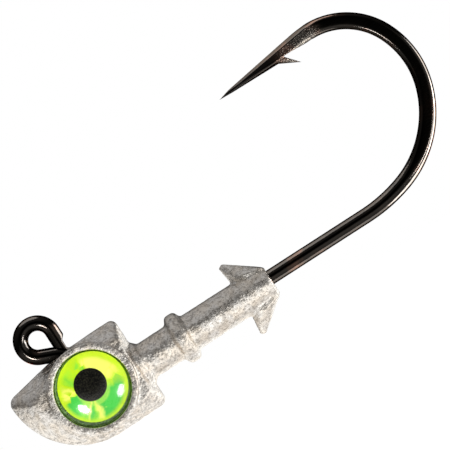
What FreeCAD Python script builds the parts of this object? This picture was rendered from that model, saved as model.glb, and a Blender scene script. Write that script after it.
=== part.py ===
"""Jig head: a lead fish-head casting on a forged hook, with a domed stick-on eye on each side.

Millimetres.  +X runs along the hook's shank from the nose to the bend, +Z towards the hook's point
and Y across the head.  The origin is the centre of the line-tie ring, whose hole runs along Y.
"""
import FreeCAD, Part
import math
import os
import sys

import Sketcher

DIMENSIONS = {
    # wire and line-tie ring
    "wire_radius": (0.73, "hook wire at the ring and along the shank"),
    "ring_hole_radius": (0.87, "inside of the line-tie ring"),
    "ring_exit_angle": (247.0, "degrees round the ring where the wire leaves for the head"),
    "ring_end_drop": (1.75, "how far the cut end stops below the ring's centre"),
    "ring_bevel_drop": (0.79, "where the cut end's bevel starts below the ring's centre"),
    "ring_bevel_width": (0.42, "how much the bevel takes off the cut end"),
    "neck_run": (1.48, "straight from the ring to the bend under the head's top"),
    "neck_radius": (1.6, "hidden bend under the head's top"),
    "neck_turn": (48.0, "degrees"),
    "crank_run": (2.60, "hidden straight down through the head"),
    "crank_radius": (2.0, "hidden bend onto the shank"),
    "crank_turn": (71.0, "degrees, which leaves the shank level"),
    # shank and bend
    "shank_drop": (6.81, "shank's axis below the ring's centre"),
    "shank_run": (27.59, "straight shank, up to the bend"),
    "bend_radius_low": (15.3, "first arc of the bend"),
    "bend_turn_low": (17.0, "degrees"),
    "bend_radius_side": (10.2, "second arc"),
    "bend_turn_side": (56.0, "degrees"),
    "bend_radius_high": (8.4, "third arc"),
    "bend_turn_high": (42.0, "degrees"),
    "bend_radius_top": (6.7, "last arc"),
    "bend_turn_top": (65.0, "degrees, to end parallel to the shank"),
    "middle_along": (0.62, "share of the third arc before the forged wire is widest"),
    "forged_height": (0.81, "half the forged wire's width in the plane of the hook"),
    "forged_trim": (0.03, "how much narrower the wire is at the end of the bend"),
    "forged_width": (0.65, "half the forged wire's thickness across the hook"),
    # point and barb
    "point_x": (26.51, "tip of the point"),
    "point_z": (9.66, "tip of the point"),
    "grind_start_x": (35.6, "where the top of the point starts to fall"),
    "grind_start_z": (11.22, "top of the wire there"),
    "spear_x": (27.55, "where the point's top turns down to the tip"),
    "spear_z": (9.97, "top of the point there"),
    "point_floor_z": (9.57, "underside of the point"),
    "point_arc": (8.0, "gentle arc from the bend to the point"),
    "point_turn": (3.0, "degrees by which the point looks in at the shank"),
    "blank_run": (9.9, "straight wire that the point is ground from"),
    "blank_height": (0.66, "half that wire's height at its end"),
    "blank_width": (0.55, "half that wire's thickness at its end"),
    "grind_side_x": (34.60, "where the sides of the point start to narrow"),
    "barb_root_x": (32.85, "front of the barb"),
    "barb_root_z": (9.48, "underside of the wire at the front of the barb"),
    "barb_tip_x": (34.72, "free end of the barb"),
    "barb_tip_z": (8.49, "free end of the barb"),
    "barb_crotch_x": (33.55, "bottom of the cut behind the barb"),
    "barb_crotch_z": (9.85, "bottom of the cut behind the barb"),
    "barb_cut_x": (36.30, "back end of the sliver that was lifted to make the barb"),
    "barb_bury": (0.30, "how far the barb runs into the wire"),
    "barb_half_width": (0.24, "half the barb's thickness"),
    "clear_of_wire": (1.60, "how far each grinding cut runs past the wire"),
    # head: the outline at the parting line
    "nose_x": (-5.50, "nose corner"),
    "nose_z": (-3.41, "nose corner"),
    "nose_radius": (0.90, "rounding of the nose"),
    "brow_x": (0.65, "where the sloping brow meets the flat top"),
    "brow_z": (-2.20, "where the sloping brow meets the flat top"),
    "brow_radius": (3.00, "rounding there"),
    "crown_x": (6.98, "top corner of the head's back"),
    "crown_z": (-2.08, "top corner of the head's back"),
    "back_x": (7.13, "bottom corner of the head's back"),
    "bottom_z": (-11.37, "bottom corner of the head's back"),
    "back_radius": (0.65, "rounding of both corners"),
    "chin_x": (-4.98, "corner that the throat's curve rounds off"),
    "chin_z": (-11.62, "corner that the throat's curve rounds off"),
    "chin_radius": (7.40, "curve of the throat"),
    "land_half": (0.45, "half the thickness at the head's edge"),
    "cheek_half": (2.95, "half the thickness across the cheeks"),
    "nose_inset": (2.30, "how far the nose slopes back from the edge to the cheek"),
    "brow_inset": (1.00, "the same for the brow at the nose"),
    "top_inset": (1.50, "the same for the top"),
    "back_inset": (0.60, "the same for the back"),
    "bottom_inset": (1.40, "the same for the bottom"),
    "chin_inset": (1.90, "the same for the throat"),
    "cheek_rounding": (0.30, "how much more the cheek's corners are rounded"),
    "chin_tightening": (1.90, "how much less the cheek's throat is rounded"),
    # eye boss and socket
    "eye_x": (2.00, "centre of the eye"),
    "eye_z": (-6.52, "centre of the eye"),
    "boss_radius": (4.26, "outside of the raised rim round the eye"),
    "boss_half": (3.55, "half the head's thickness at that rim"),
    "socket_radius": (3.62, "inside of the rim"),
    "socket_depth": (0.80, "depth of the socket"),
    # keeper
    "keeper_drop": (0.31, "keeper's axis below the shank's axis"),
    "keeper_start_x": (5.00, "where the keeper starts inside the head"),
    "root_flare": (0.45, "fillet where the keeper leaves the head"),
    "collar_radius": (1.80, "keeper between the head and the bead"),
    "bead_x": (11.48, "middle of the bead"),
    "bead_radius": (2.52, "outside of the bead"),
    "bead_half_width": (0.84, "half the bead's width at its foot"),
    "bead_crown": (0.50, "half the width of the bead's crown"),
    "bead_rounding": (0.45, "rounding of the bead's crown"),
    "bead_fillet": (0.30, "fillet at the bead's feet"),
    "keeper_radius": (1.77, "keeper behind the bead"),
    "cone_start_x": (18.10, "where the keeper starts to narrow"),
    "keeper_end_x": (21.37, "back end of the keeper"),
    "keeper_end_radius": (1.58, "keeper at its back end"),
    "fin_tip_x": (17.80, "rear corner of each barb's blunt tip"),
    "fin_rise": (3.57, "rear corner of the upper tip above the keeper's axis"),
    "fin_fall": (3.66, "rear corner of the lower tip below the keeper's axis"),
    "fin_blunt_x": (0.42, "blunt tip, along the keeper"),
    "fin_blunt_z": (0.22, "blunt tip, away from the keeper"),
    "fin_crotch_x": (18.25, "foot of each barb's rear edge"),
    "fin_land_half": (0.14, "half a barb's thickness at its edges"),
    "fin_half": (1.05, "half a barb's thickness at its root"),
    "fin_sink": (1.85, "how far a barb's outline drops from its edge to its side"),
    "fin_sink_x": (1.00, "how far the tip moves forward from its edge to its side"),
    "end_break": (0.20, "bevel round the keeper's back end"),
    # eye
    "lens_radius": (3.50, "clear dome"),
    "lens_rim": (0.42, "height of the dome's straight edge"),
    "lens_height": (1.15, "height of the dome at its middle"),
    "pad_radius": (3.20, "adhesive pad"),
    "pad_thickness": (0.12, "adhesive pad"),
    "foil_radius": (3.30, "iris foil"),
    "foil_thickness": (0.08, "iris foil"),
    "foil_shift_x": (0.10, "how far the foil sits off the socket's centre"),
    "foil_shift_z": (0.13, "how far the foil sits off the socket's centre"),
    "pupil_radius": (1.55, "pupil"),
    "pupil_thickness": (0.04, "pupil"),
    "pupil_shift_x": (0.00, "how far the pupil is off the socket's centre"),
    "pupil_shift_z": (0.42, "how far the pupil is off the socket's centre"),
}
TINY = 1e-4

doc = FreeCAD.newDocument("jig_head")
sheet = doc.addObject("Spreadsheet::Sheet", "dims")


def fill_sheet():
    """One row per driving dimension: its name, its value with that alias, and what it is."""
    for row, (name, (number, note)) in enumerate(DIMENSIONS.items(), start=1):
        sheet.set(f"A{row}", name)
        sheet.set(f"B{row}", str(number))
        sheet.setAlias(f"B{row}", name)
        sheet.set(f"C{row}", note)
    doc.recompute()


def terms(text):
    """'a + b - c' as [(1, 'a'), (1, 'b'), (-1, 'c')]."""
    parts = text.replace(" ", "").replace("-", "+-").split("+")
    return [(-1, part[1:]) if part.startswith("-") else (1, part) for part in parts if part]


def amount(text):
    """The value of a sum of named dimensions."""
    return sum(sign * DIMENSIONS[name][0] for sign, name in terms(text))


def formula(text):
    """The same sum as an expression over the sheet's cells."""
    return "0" + "".join((" - " if sign < 0 else " + ") + "dims." + name for sign, name in terms(text))


def bind(thing, path, text):
    """Ties a property to a sum of named dimensions."""
    thing.setExpression(path, formula(text))


def new_body(name):
    body = doc.addObject("PartDesign::Body", name)
    body.Label = name
    return body


def new_sketch(body, name, plane, shift="", lift=""):
    """A sketch on one of the body's own origin planes.

    shift moves it along the plane's normal, and lift moves it up in the plane.
    """
    sketch = body.newObject("Sketcher::SketchObject", name)
    origin_plane = next(f for f in body.Origin.OriginFeatures if f.Role == plane)
    sketch.AttachmentSupport = [(origin_plane, "")]
    sketch.MapMode = "FlatFace"
    if shift:
        bind(sketch, "AttachmentOffset.Base.z", shift)
    if lift:
        bind(sketch, "AttachmentOffset.Base.y", lift)
    return sketch


def hold(sketch, geometry, end, across, up):
    """Holds one end of a piece of geometry at (across, up), both named sums."""
    for kind, text in (("DistanceX", across), ("DistanceY", up)):
        number = sketch.addConstraint(Sketcher.Constraint(kind, -1, 1, geometry, end, amount(text)))
        bind(sketch, f"Constraints[{number}]", text)


def polygon(sketch, corners):
    """A closed outline through corners, each a pair of named sums."""
    first = sketch.GeometryCount
    count = len(corners)
    spots = [FreeCAD.Vector(amount(across), amount(up), 0) for across, up in corners]
    for i in range(count):
        sketch.addGeometry(Part.LineSegment(spots[i], spots[(i + 1) % count]), False)
    for i in range(count):
        sketch.addConstraint(
            Sketcher.Constraint("Coincident", first + i, 2, first + (i + 1) % count, 1)
        )
        hold(sketch, first + i, 1, *corners[i])


def rounded_polygon(sketch, corners):
    """A closed outline, anticlockwise or clockwise, of (across, up, radius) corners.

    A construction point holds each corner, both lines beside it run through it, and a tangent arc
    of the corner's radius rounds it off.
    """
    count = len(corners)
    spots = [FreeCAD.Vector(amount(across), amount(up), 0) for across, up, _ in corners]
    ways = [(spots[(i + 1) % count] - spots[i]).normalize() for i in range(count)]
    cuts = []
    for i, (_, _, radius) in enumerate(corners):
        turn = ways[i - 1].getAngle(ways[i])
        cuts.append(amount(radius) * math.tan(turn / 2))
    for i in range(count):
        start = spots[i] + ways[i] * cuts[i]
        after = (i + 1) % count
        sketch.addGeometry(Part.LineSegment(start, spots[after] - ways[i] * cuts[after]), False)
    for i, (across, up, radius) in enumerate(corners):
        entry, leave = spots[i] - ways[i - 1] * cuts[i], spots[i] + ways[i] * cuts[i]
        side = math.copysign(1, ways[i - 1].cross(ways[i]).z)
        inward = FreeCAD.Vector(-ways[i].y, ways[i].x, 0) * side
        middle = leave + inward * amount(radius)
        first, last = (entry, leave) if side > 0 else (leave, entry)
        angles = [math.atan2(spot.y - middle.y, spot.x - middle.x) for spot in (first, last)]
        if angles[1] < angles[0]:
            angles[1] += 2 * math.pi
        curve = Part.Circle(middle, FreeCAD.Vector(0, 0, 1), amount(radius))
        arc = sketch.addGeometry(Part.ArcOfCircle(curve, *angles), False)
        mark = sketch.addGeometry(Part.Point(spots[i]), True)
        hold(sketch, mark, 1, across, up)
        before = (i - 1) % count
        ends = (1, 2) if side > 0 else (2, 1)
        for line, end, arc_end in ((before, 2, ends[0]), (i, 1, ends[1])):
            sketch.addConstraint(Sketcher.Constraint("PointOnObject", mark, 1, line))
            sketch.addConstraint(Sketcher.Constraint("Tangent", line, end, arc, arc_end))
        limit = sketch.addConstraint(Sketcher.Constraint("Radius", arc, amount(radius)))
        bind(sketch, f"Constraints[{limit}]", radius)


def circle(sketch, across, up, radius):
    """A circle, each of whose three sizes is a named sum."""
    middle = FreeCAD.Vector(amount(across), amount(up), 0)
    number = sketch.addGeometry(
        Part.Circle(middle, FreeCAD.Vector(0, 0, 1), amount(radius)), False
    )
    hold(sketch, number, 3, across, up)
    limit = sketch.addConstraint(Sketcher.Constraint("Radius", number, amount(radius)))
    bind(sketch, f"Constraints[{limit}]", radius)


def ellipse(sketch, half_across, half_up):
    """An ellipse about the sketch's origin, taller than wide, each half size a named sum."""
    tall, wide = amount(half_up), amount(half_across)
    shape = Part.Ellipse(FreeCAD.Vector(0, tall, 0), FreeCAD.Vector(wide, 0, 0), FreeCAD.Vector())
    number = sketch.addGeometry(shape, False)
    sketch.exposeInternalGeometry(number)
    major, minor = number + 1, number + 2
    sketch.addConstraint(Sketcher.Constraint("Coincident", number, 3, -1, 1))
    sketch.addConstraint(Sketcher.Constraint("Vertical", major))
    for axis, text in ((major, half_up), (minor, half_across)):
        limit = sketch.addConstraint(Sketcher.Constraint("Distance", axis, 2 * amount(text)))
        sketch.setExpression(f"Constraints[{limit}]", f"2 * ({formula(text)})")


def route(sketch, start, heading, steps):
    """Draws tangent lines and arcs from start. A step is ("line", length) or ("arc", radius, turn).

    Lengths, radii and turns are named sums; a turn given with a minus sign goes clockwise. A line
    whose length is a plain number is left free, for the constraints round it to settle.
    """
    place = FreeCAD.Vector(amount(start[0]), amount(start[1]), 0)
    angle = math.radians(heading)
    joint = None
    for step in steps:
        if step[0] == "line":
            length = step[1] if isinstance(step[1], float) else amount(step[1])
            finish = place + FreeCAD.Vector(math.cos(angle), math.sin(angle), 0) * length
            number = sketch.addGeometry(Part.LineSegment(place, finish), False)
            ends = (1, 2)
            if isinstance(step[1], str):
                limit = sketch.addConstraint(Sketcher.Constraint("Distance", number, length))
                bind(sketch, f"Constraints[{limit}]", step[1])
        else:
            radius, turn = amount(step[1]), math.radians(amount(step[2]))
            side = math.copysign(1, turn)
            out = angle - side * math.pi / 2
            middle = place - FreeCAD.Vector(math.cos(out), math.sin(out), 0) * radius
            curve = Part.Circle(middle, FreeCAD.Vector(0, 0, 1), radius)
            first, last = (out, out + turn) if side > 0 else (out + turn, out)
            number = sketch.addGeometry(Part.ArcOfCircle(curve, first, last), False)
            ends = (1, 2) if side > 0 else (2, 1)
            limit = sketch.addConstraint(Sketcher.Constraint("Radius", number, radius))
            bind(sketch, f"Constraints[{limit}]", step[1])
            limit = sketch.addConstraint(Sketcher.Constraint("Angle", number, abs(turn)))
            size = formula(step[2]) if side > 0 else f"0 - ({formula(step[2])})"
            sketch.setExpression(f"Constraints[{limit}]", f"({size}) * 1 deg")
            angle += turn
            finish = middle + FreeCAD.Vector(
                math.cos(out + turn), math.sin(out + turn), 0
            ) * radius
        if joint:
            sketch.addConstraint(Sketcher.Constraint("Tangent", *joint, number, ends[0]))
        else:
            hold(sketch, number, ends[0], *start)
        joint = (number, ends[1])
        place = finish
    return place


def section(body, name, path, edge, along, turned):
    """A sketch across one edge of a path, at a share of its length, turned about the path."""
    sketch = body.newObject("Sketcher::SketchObject", name)
    sketch.AttachmentSupport = [(path, edge)]
    sketch.MapMode = "NormalToEdge"
    if isinstance(along, str):
        bind(sketch, "MapPathParameter", along)
    else:
        sketch.MapPathParameter = along
    spin = FreeCAD.Rotation(FreeCAD.Vector(0, 0, 1), turned)
    sketch.AttachmentOffset = FreeCAD.Placement(FreeCAD.Vector(), spin)
    doc.recompute()
    return sketch


def pipe(body, name, profile, spine, sections=()):
    """A solid swept along a path's edges, through further sections if there are any."""
    feature = body.newObject("PartDesign::AdditivePipe", name)
    feature.Profile = profile
    feature.Spine = spine
    if sections:
        feature.Sections = [(sketch, [""]) for sketch in sections]
        feature.Transformation = "Multisection"
    doc.recompute()
    return feature


def pocket(body, name, sketch, depth="", along_normal=True):
    """Cuts a sketch right through the body, or to a depth on one side of the sketch."""
    feature = body.newObject("PartDesign::Pocket", name)
    feature.Profile = sketch
    if depth:
        feature.Type = 0
        feature.Reversed = along_normal
        bind(feature, "Length", depth)
    else:
        feature.Type = 1
        feature.SideType = "Symmetric"
    doc.recompute()
    return feature


def pad(body, name, sketch, length, draft=""):
    """Pads a sketch both ways, to length each way, its faces leaning in by the draft angle."""
    feature = body.newObject("PartDesign::Pad", name)
    feature.Profile = sketch
    feature.SideType = "Two sides"
    for side in ("Length", "Length2"):
        bind(feature, side, length)
    if draft:
        for side in ("TaperAngle", "TaperAngle2"):
            feature.setExpression(side, f"0 deg - ({formula(draft)}) * 1 deg")
    doc.recompute()
    return feature


def make_hook():
    """The hook: one wire with a turned ring, a cranked neck, a forged bend and a ground point."""
    body = new_body("hook")
    path = new_sketch(body, "wire_path", "XZ_Plane")
    eye_steps = [
        ("line", "ring_end_drop"),
        ("arc", "ring_hole_radius + wire_radius", "ring_exit_angle"),
        ("line", "neck_run"),
        ("arc", "neck_radius", "-neck_turn"),
        ("line", "crank_run"),
        ("arc", "crank_radius", "crank_turn"),
        ("line", "shank_run"),
    ]
    bend_steps = [
        ("arc", "bend_radius_low", "bend_turn_low"),
        ("arc", "bend_radius_side", "bend_turn_side"),
        ("arc", "bend_radius_high", "bend_turn_high"),
        ("arc", "bend_radius_top", "bend_turn_top"),
        ("arc", "point_arc", "point_turn"),
        ("line", "blank_run"),
    ]
    route(path, ("ring_hole_radius + wire_radius", "-ring_end_drop"), 90.0, eye_steps + bend_steps)
    doc.recompute()
    edges = [f"Edge{i + 1}" for i in range(len(path.Shape.Edges))]
    eye_edges, bend_edges = edges[: len(eye_steps)], edges[len(eye_steps):]

    ring_end = section(body, "ring_end", path, eye_edges[0], 0.0, 0.0)
    circle(ring_end, "", "", "wire_radius")
    pipe(body, "eye_and_shank", ring_end, (path, eye_edges))

    quarter, half = 90.0, 180.0
    bend_start = section(body, "bend_start", path, bend_edges[0], 0.0, quarter)
    circle(bend_start, "", "", "wire_radius")
    bend_middle = section(body, "bend_middle", path, bend_edges[2], "middle_along", half)
    ellipse(bend_middle, "forged_width", "forged_height")
    bend_end = section(body, "bend_end", path, bend_edges[3], 1.0, half)
    ellipse(bend_end, "forged_width", "forged_height - forged_trim")
    blank_end = section(body, "blank_end", path, bend_edges[5], 1.0, half)
    ellipse(blank_end, "blank_width", "blank_height")
    pipe(body, "forged_bend", bend_start, (path, bend_edges), [bend_middle, bend_end, blank_end])

    above = new_sketch(body, "above_point", "XZ_Plane")
    polygon(above, [
        ("point_x", "point_z"),
        ("spear_x", "spear_z"),
        ("grind_start_x", "grind_start_z"),
        ("grind_start_x", "grind_start_z + clear_of_wire"),
        ("point_x - clear_of_wire", "grind_start_z + clear_of_wire"),
        ("point_x - clear_of_wire", "point_z"),
    ])
    pocket(body, "ground_top", above)
    below = new_sketch(body, "below_point", "XZ_Plane")
    polygon(below, [
        ("point_x - clear_of_wire", "point_z"),
        ("point_x", "point_z"),
        ("spear_x", "point_floor_z"),
        ("barb_root_x", "barb_root_z"),
        ("barb_crotch_x", "barb_crotch_z"),
        ("barb_cut_x", "barb_crotch_z"),
        ("barb_cut_x + clear_of_wire", "barb_crotch_z - clear_of_wire"),
        ("point_x - clear_of_wire", "barb_crotch_z - clear_of_wire"),
    ])
    pocket(body, "ground_underside", below)
    for side, name in ((1, "ground_side_left"), (-1, "ground_side_right")):
        beside = new_sketch(body, name + "_outline", "XY_Plane", "point_floor_z - clear_of_wire")
        ahead = "point_x - clear_of_wire"
        wide = "clear_of_wire" if side < 0 else "-clear_of_wire"
        edge = "wire_radius" if side < 0 else "-wire_radius"
        polygon(beside, [
            ("point_x", ""),
            ("grind_side_x", edge),
            ("grind_side_x", wide),
            (ahead, wide),
            (ahead, ""),
        ])
        pocket(body, name, beside, depth="clear_of_wire + clear_of_wire")

    barb = new_sketch(body, "barb_outline", "XZ_Plane")
    polygon(barb, [
        ("barb_root_x - barb_bury", "barb_root_z + barb_bury"),
        ("barb_root_x", "barb_root_z"),
        ("barb_tip_x", "barb_tip_z"),
        ("barb_crotch_x", "barb_crotch_z"),
        ("barb_crotch_x", "barb_crotch_z + barb_bury"),
    ])
    pad(body, "barb", barb, "barb_half_width")

    bevel = new_sketch(body, "ring_bevel_outline", "XZ_Plane")
    rim = "ring_hole_radius + wire_radius + wire_radius"
    polygon(bevel, [
        (rim, "-ring_bevel_drop"),
        (rim + " - ring_bevel_width", "-ring_bevel_drop - ring_bevel_width"),
        (rim + " - ring_bevel_width", "-ring_end_drop"),
        (rim + " + ring_bevel_width", "-ring_end_drop"),
        (rim + " + ring_bevel_width", "-ring_bevel_drop"),
    ])
    pocket(body, "ring_bevel", bevel)
    return body


def loft(body, name, first, last):
    """A solid with straight sides between two outlines."""
    feature = body.newObject("PartDesign::AdditiveLoft", name)
    feature.Profile = first
    feature.Sections = [(last, [""])]
    feature.Ruled = True
    doc.recompute()
    return feature


def head_outline(body, name, shift, sunk):
    """The head's outline at shift from the parting line: full size, or sunk in as on a cheek."""

    def inset(change):
        return change if sunk else ""

    sketch = new_sketch(body, name, "XZ_Plane", shift)
    rounding = inset(" + cheek_rounding")
    top, back, bottom = inset(" - top_inset"), inset(" - back_inset"), inset(" + bottom_inset")
    rounded_polygon(sketch, [
        (
            "nose_x" + inset(" + nose_inset"),
            "nose_z" + inset(" - brow_inset"),
            "nose_radius" + rounding,
        ),
        ("brow_x", "brow_z" + top, "brow_radius"),
        ("crown_x" + back, "crown_z" + top, "back_radius" + rounding),
        ("back_x" + back, "bottom_z" + bottom, "back_radius" + rounding),
        (
            "chin_x" + inset(" + chin_inset"),
            "chin_z" + bottom,
            "chin_radius" + inset(" - chin_tightening"),
        ),
    ])
    return sketch


def round_edges(body, name, radius, wanted):
    """Rounds the edges of the body that wanted(edge) picks."""
    base = body.Tip
    feature = body.newObject("PartDesign::Fillet", name)
    names = [f"Edge{i + 1}" for i, edge in enumerate(base.Shape.Edges) if wanted(edge)]
    feature.Base = (base, names)
    bind(feature, "Radius", radius)
    doc.recompute()
    return feature


def fin_outline(body, name, shift, upper, sunk):
    """One barb's outline: at its edge, or sunk towards the keeper as on its side."""
    if upper:
        tip, blunt, inward, end = "fin_rise", " + fin_blunt_z", " - fin_sink", "keeper_end_radius"
    else:
        tip, blunt, inward, end = "-fin_fall", " - fin_blunt_z", " + fin_sink", "-keeper_end_radius"
    sink, ahead, crotch = (inward, " + fin_sink_x", " + fin_blunt_x") if sunk else ("", "", "")
    sketch = new_sketch(body, name, "XZ_Plane", shift, "-shank_drop - keeper_drop")
    polygon(sketch, [
        ("fin_crotch_x" + crotch, ""),
        ("fin_tip_x" + ahead, tip + sink),
        ("fin_tip_x + fin_blunt_x" + ahead, tip + blunt + sink),
        ("keeper_end_x - end_break", end),
        ("keeper_end_x - end_break", ""),
    ])
    return sketch


def add_keeper(body):
    """The round keeper with its bead, and the two barbs that hold the bait."""
    profile = new_sketch(body, "keeper_profile", "XZ_Plane", "", "-shank_drop - keeper_drop")
    polygon(profile, [
        ("keeper_start_x", ""),
        ("keeper_start_x", "collar_radius + root_flare"),
        ("back_x", "collar_radius + root_flare"),
        ("back_x + root_flare", "collar_radius"),
        ("bead_x - bead_half_width", "collar_radius"),
        ("bead_x - bead_crown", "bead_radius"),
        ("bead_x + bead_crown", "bead_radius"),
        ("bead_x + bead_half_width", "keeper_radius"),
        ("cone_start_x", "keeper_radius"),
        ("keeper_end_x - end_break", "keeper_end_radius"),
        ("keeper_end_x", "keeper_end_radius - end_break"),
        ("keeper_end_x", ""),
    ])
    keeper = body.newObject("PartDesign::Revolution", "keeper")
    keeper.Profile = profile
    keeper.ReferenceAxis = (profile, ["H_Axis"])
    keeper.Angle = 360
    doc.recompute()
    for upper, which in ((True, "upper"), (False, "lower")):
        outline = fin_outline(body, which + "_barb_edge", "", upper, False)
        pad(body, which + "_barb_land", outline, "fin_land_half")
        for side, sign in (("left", ""), ("right", "-")):
            name = f"{which}_barb_{side}"
            edge = fin_outline(body, name + "_edge", sign + "fin_land_half", upper, False)
            flank = fin_outline(body, name + "_side", sign + "fin_half", upper, True)
            loft(body, name, edge, flank)


def soften_edges(body):
    """Rounds the bead's crown and feet."""
    for name, radius, at in (
        ("bead_rounding", "bead_rounding", "bead_radius"),
        ("bead_fillet", "bead_fillet", "keeper_radius"),
    ):
        near = amount("bead_half_width") + TINY
        round_edges(
            body,
            name,
            radius,
            lambda edge: isinstance(edge.Curve, Part.Circle)
            and abs(edge.Curve.Radius - amount(at)) < 0.04
            and abs(edge.Curve.Axis.x) > 1 - TINY
            and abs(edge.CenterOfMass.x - amount("bead_x")) < near,
        )


def make_head(hook):
    """The lead: head, raised eye rims with their sockets, and the barbed keeper, cast in one."""
    body = new_body("casting")
    pad(body, "edge_land", head_outline(body, "edge_outline", "", False), "land_half")
    for side, sign in (("left", ""), ("right", "-")):
        edge = head_outline(body, "edge_" + side, sign + "land_half", False)
        cheek = head_outline(body, "cheek_" + side, sign + "cheek_half", True)
        loft(body, "flank_" + side, edge, cheek)

    boss = new_sketch(body, "boss_outline", "XZ_Plane")
    circle(boss, "eye_x", "eye_z", "boss_radius")
    pad(body, "eye_boss", boss, "boss_half")
    for side, sign in (("left", ""), ("right", "-")):
        socket = new_sketch(body, "socket_outline_" + side, "XZ_Plane", sign + "boss_half")
        circle(socket, "eye_x", "eye_z", "socket_radius")
        pocket(body, "eye_socket_" + side, socket, "socket_depth", along_normal=side == "right")

    add_keeper(body)
    soften_edges(body)
    head = doc.addObject("Part::Cut", "head_casting")
    head.Label = "head_casting"
    head.Base = body
    head.Tool = hook
    doc.recompute()
    return head


def disc(name, side, radius, thickness, start, shift_x, shift_z):
    """A flat round piece of the eye, from start outwards; side is -1 on the left, 1 on the right."""
    piece = doc.addObject("Part::Cylinder", name)
    piece.Label = name
    bind(piece, "Radius", radius)
    bind(piece, "Height", thickness)
    piece.Placement = FreeCAD.Placement(
        FreeCAD.Vector(), FreeCAD.Rotation(FreeCAD.Vector(1, 0, 0), -90 * side)
    )
    bind(piece, "Placement.Base.x", "eye_x" + shift_x)
    bind(piece, "Placement.Base.z", "eye_z" + shift_z)
    piece.setExpression("Placement.Base.y", f"{side} * ({formula(start)})")
    return piece


def make_dome(name, side, start, pupil):
    """The clear dome: a straight rim under a spherical crown, closed over the printed pupil."""
    blank = disc(name + "_blank", side, "lens_radius", "lens_height", start, "", "")
    crown = doc.addObject("Part::Sphere", name + "_crown")
    rise = "(dims.lens_height - dims.lens_rim)"
    crown_radius = f"(dims.lens_radius ^ 2 + {rise} ^ 2) / (2 * {rise})"
    crown.setExpression("Radius", crown_radius)
    bind(crown, "Placement.Base.x", "eye_x")
    bind(crown, "Placement.Base.z", "eye_z")
    depth = f"{formula(start)} + dims.lens_height - {crown_radius}"
    crown.setExpression("Placement.Base.y", f"{side} * ({depth})")
    dome = doc.addObject("Part::Common", name + "_dome")
    dome.Base = blank
    dome.Tool = crown
    lens = doc.addObject("Part::Cut", name)
    lens.Label = name
    lens.Base = dome
    lens.Tool = pupil
    return lens


def make_eye(side):
    """One eye, from the socket's floor outwards: adhesive, iris foil, pupil and clear dome."""
    hand = "left" if side < 0 else "right"
    floor = "boss_half - socket_depth"
    on_pad = floor + " + pad_thickness"
    on_foil = on_pad + " + foil_thickness"
    adhesive = disc(f"adhesive_pad_{hand}", side, "pad_radius", "pad_thickness", floor, "", "")
    foil = disc(
        f"iris_foil_{hand}",
        side,
        "foil_radius",
        "foil_thickness",
        on_pad,
        " + foil_shift_x",
        " + foil_shift_z",
    )
    pupil = disc(
        f"pupil_print_{hand}",
        side,
        "pupil_radius",
        "pupil_thickness",
        on_foil,
        " + pupil_shift_x",
        " + pupil_shift_z",
    )
    lens = make_dome(f"eye_lens_{hand}", side, on_foil, pupil)
    return [adhesive, foil, pupil, lens]


def check_document():
    """Stops the build if any object of the document failed."""
    failed = [
        thing.Name for thing in doc.Objects if {"Invalid", "Error"} & set(thing.State)
    ]
    if failed:
        sys.exit("failed objects: " + ", ".join(failed))


def write_parts(pieces):
    """Writes each piece, once it is a single valid solid, to parts/LABEL.step."""
    os.makedirs("parts", exist_ok=True)
    for piece in pieces:
        shape = piece.Shape
        if shape.isNull() or not shape.isValid() or len(shape.Solids) != 1:
            sys.exit(f"{piece.Label} is not one valid solid")
        shape.exportStep(f"parts/{piece.Label}.step")
        box = shape.optimalBoundingBox(False)
        spans = [round(span, 2) for span in (box.XLength, box.YLength, box.ZLength)]
        print(f"{piece.Label}: {shape.Volume:.3f} mm3, {spans} mm")


fill_sheet()
wire = make_hook()
lead = make_head(wire)
pieces = [wire, lead] + make_eye(-1) + make_eye(1)
doc.recompute()
check_document()
write_parts(pieces)
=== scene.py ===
"""Jig head: the looks.  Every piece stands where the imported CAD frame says, in metres."""

import math

import bmesh
import bpy
import numpy as np
from mathutils import Matrix, Quaternion, Vector, noise


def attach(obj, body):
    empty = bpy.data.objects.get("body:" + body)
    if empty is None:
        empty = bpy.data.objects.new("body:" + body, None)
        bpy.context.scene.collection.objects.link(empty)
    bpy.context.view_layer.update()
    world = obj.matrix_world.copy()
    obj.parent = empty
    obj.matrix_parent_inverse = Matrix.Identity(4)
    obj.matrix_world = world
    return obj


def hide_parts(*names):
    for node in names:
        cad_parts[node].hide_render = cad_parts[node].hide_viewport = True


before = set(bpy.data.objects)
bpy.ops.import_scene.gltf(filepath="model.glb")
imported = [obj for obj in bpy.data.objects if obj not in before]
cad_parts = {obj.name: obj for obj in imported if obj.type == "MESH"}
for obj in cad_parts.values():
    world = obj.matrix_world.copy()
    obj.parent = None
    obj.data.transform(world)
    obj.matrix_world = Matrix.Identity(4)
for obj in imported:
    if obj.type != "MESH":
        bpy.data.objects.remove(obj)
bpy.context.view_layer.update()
BODY = "root"
MM = 0.001

# --- the hook's wire, in millimetres, as the frame's hook has it
WIRE_RADIUS = 0.73
RING_RADIUS = 1.60
RING_EXIT = 247.0
RING_END_DROP = 1.75
NECK_RUN, NECK_RADIUS, NECK_TURN = 1.48, 1.6, -48.0
CRANK_RUN, CRANK_RADIUS, CRANK_TURN = 2.60, 2.0, 71.0
SHANK_RUN = 27.59
BEND_ARCS = ((15.3, 17.0), (10.2, 56.0), (8.4, 42.0), (6.7, 65.0))
RING_END_GAP = 0.015
NECK_TOP = ((0.87, -1.33), (1.30, -1.56), (1.65, -1.80), (1.95, -2.06))
BEVEL_INNER_X, BEVEL_LOW_Z = 1.913, -1.21
CORNER = 14
ROUND_HALF_WIDTH = 0.95
FORGED_RADIUS = 0.82
FORGED_HALF_WIDTH = 0.62
BEND_END_RADIUS = 0.79
POINT_SIDE_Z = 8.0
POINT_TIP = (26.36, 9.64)
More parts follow.
